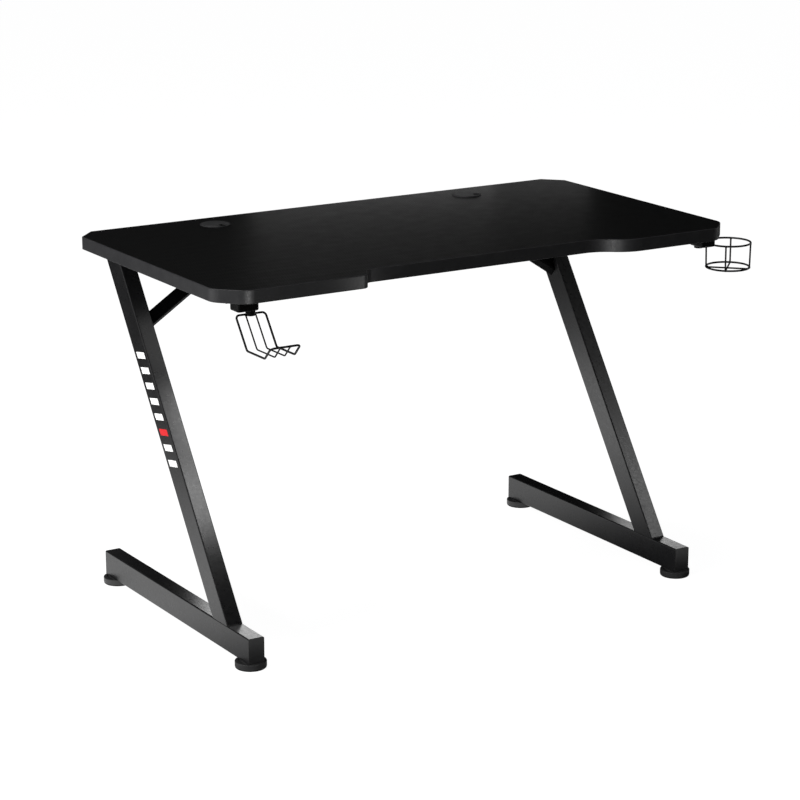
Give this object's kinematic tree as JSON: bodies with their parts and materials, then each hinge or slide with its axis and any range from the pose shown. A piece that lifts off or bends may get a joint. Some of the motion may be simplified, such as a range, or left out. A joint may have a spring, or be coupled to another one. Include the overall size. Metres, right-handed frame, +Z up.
{
  "type": "gaming desk",
  "caption": "Gaming desk with a recessed-front dark top on leaning tube side frames, with levelling pads, cable grommets, a swivelling headphone hook and a swinging wire cup holder.",
  "frame": {"origin": "on the floor under the middle of the top, midway between the side frames", "axes": "+X to the sitter's right along the top, -Y towards the sitter, +Z up"},
  "size_m": [1.2335, 0.7255, 0.7325],
  "materials": {
    "board": "black melamine over particle board, smooth satin",
    "carbon_sheet": "black carbon-pattern sheet, fine embossed weave, satin",
    "edge_band": "dark grey moulded edge band, fine matt grain",
    "frame": "black powder coat, fine orange peel, satin",
    "plug": "black moulded plastic, matt",
    "fastener": "black oxide steel, satin",
    "zinc": "zinc plated steel, satin",
    "pad": "black moulded plastic, satin",
    "sole": "black rubber, matt",
    "grommet": "dark grey moulded plastic, fine grain",
    "bracket": "black moulded plastic, fine grain",
    "wire": "black dip coat on steel wire, semi gloss"
  },
  "bodies": {
    "desk_frame": {"desktop_board": "board", "desktop_laminate": "carbon_sheet", "edge_band": "edge_band", "cross_rail": "frame", "rail_bolts": "fastener", "rail_nuts": "zinc", "brace_bolts": "fastener", "brace_nuts": "zinc", "desktop_bolts": "fastener", "desktop_inserts": "zinc", "foot_nuts": "zinc", "bracket_screws": "fastener", "hook_bracket": "bracket", "cup_bracket": "bracket", "left_foot_tube": "frame", "left_upright": "frame", "left_top_beam": "frame", "left_rail_plate": "frame", "left_brace": "frame", "left_brace_tab": "frame", "left_grommet_sleeve": "grommet", "right_foot_tube": "frame", "right_upright": "frame", "right_top_beam": "frame", "right_rail_plate": "frame", "right_brace": "frame", "right_brace_tab": "frame", "right_grommet_sleeve": "grommet", "left_front_foot_plug": "plug", "left_front_beam_plug": "plug", "left_back_foot_plug": "plug", "left_back_beam_plug": "plug", "right_front_foot_plug": "plug", "right_front_beam_plug": "plug", "right_back_foot_plug": "plug", "right_back_beam_plug": "plug"},
    "headphone_hook": {"hook_swivel": "bracket", "hook_pivot_screw": "zinc", "hook_rack": "wire"},
    "cup_holder": {"cup_swivel": "bracket", "cup_pivot_screw": "zinc", "cup_basket": "wire"},
    "left_grommet_cap": {"left_grommet_cap": "grommet"},
    "right_grommet_cap": {"right_grommet_cap": "grommet"},
    "left_front_foot": {"left_front_pad": "pad", "left_front_sole": "sole"},
    "left_front_stem": {"left_front_stem": "zinc"},
    "left_back_foot": {"left_back_pad": "pad", "left_back_sole": "sole"},
    "left_back_stem": {"left_back_stem": "zinc"},
    "right_front_foot": {"right_front_pad": "pad", "right_front_sole": "sole"},
    "right_front_stem": {"right_front_stem": "zinc"},
    "right_back_foot": {"right_back_pad": "pad", "right_back_sole": "sole"},
    "right_back_stem": {"right_back_stem": "zinc"}
  },
  "joints": [
    {"name": "left_front_foot_height", "type": "slide", "parent": "desk_frame", "child": "left_front_foot", "axis": [0, 0, 1], "range_m": [-0.01, 0]},
    {"name": "left_front_stem_turn", "type": "hinge", "parent": "left_front_foot", "child": "left_front_stem", "pos_m": [-0.4935, -0.2445, 0], "axis": [0, 0, 1], "range_deg": [-2890, 10]},
    {"name": "left_back_foot_height", "type": "slide", "parent": "desk_frame", "child": "left_back_foot", "axis": [0, 0, 1], "range_m": [-0.01, 0]},
    {"name": "left_back_stem_turn", "type": "hinge", "parent": "left_back_foot", "child": "left_back_stem", "pos_m": [-0.4935, 0.3145, 0], "axis": [0, 0, 1], "range_deg": [-2890, 10]},
    {"name": "right_front_foot_height", "type": "slide", "parent": "desk_frame", "child": "right_front_foot", "axis": [0, 0, 1], "range_m": [-0.01, 0]},
    {"name": "right_front_stem_turn", "type": "hinge", "parent": "right_front_foot", "child": "right_front_stem", "pos_m": [0.4935, -0.2445, 0], "axis": [0, 0, 1], "range_deg": [-2890, 10]},
    {"name": "right_back_foot_height", "type": "slide", "parent": "desk_frame", "child": "right_back_foot", "axis": [0, 0, 1], "range_m": [-0.01, 0]},
    {"name": "right_back_stem_turn", "type": "hinge", "parent": "right_back_foot", "child": "right_back_stem", "pos_m": [0.4935, 0.3145, 0], "axis": [0, 0, 1], "range_deg": [-2890, 10]},
    {"name": "left_grommet_cap_turn", "type": "hinge", "parent": "desk_frame", "child": "left_grommet_cap", "pos_m": [-0.296, 0.24, 0.73], "axis": [0, 0, 1], "continuous": true},
    {"name": "right_grommet_cap_turn", "type": "hinge", "parent": "desk_frame", "child": "right_grommet_cap", "pos_m": [0.296, 0.24, 0.73], "axis": [0, 0, 1], "continuous": true},
    {"name": "headphone_hook_swivel", "type": "hinge", "parent": "desk_frame", "child": "headphone_hook", "pos_m": [-0.487, -0.252, 0.69], "axis": [0, 0, 1], "continuous": true},
    {"name": "cup_holder_swing", "type": "hinge", "parent": "desk_frame", "child": "cup_holder", "pos_m": [0.541, -0.23, 0.69], "axis": [0, 0, 1], "range_deg": [0, 180]}
  ],
  "couplings": [
    {"joint": "left_front_stem_turn", "follows": "left_front_foot_height", "rad_per_m": 5026.5},
    {"joint": "left_back_stem_turn", "follows": "left_back_foot_height", "rad_per_m": 5026.5},
    {"joint": "right_front_stem_turn", "follows": "right_front_foot_height", "rad_per_m": 5026.5},
    {"joint": "right_back_stem_turn", "follows": "right_back_foot_height", "rad_per_m": 5026.5}
  ]
}
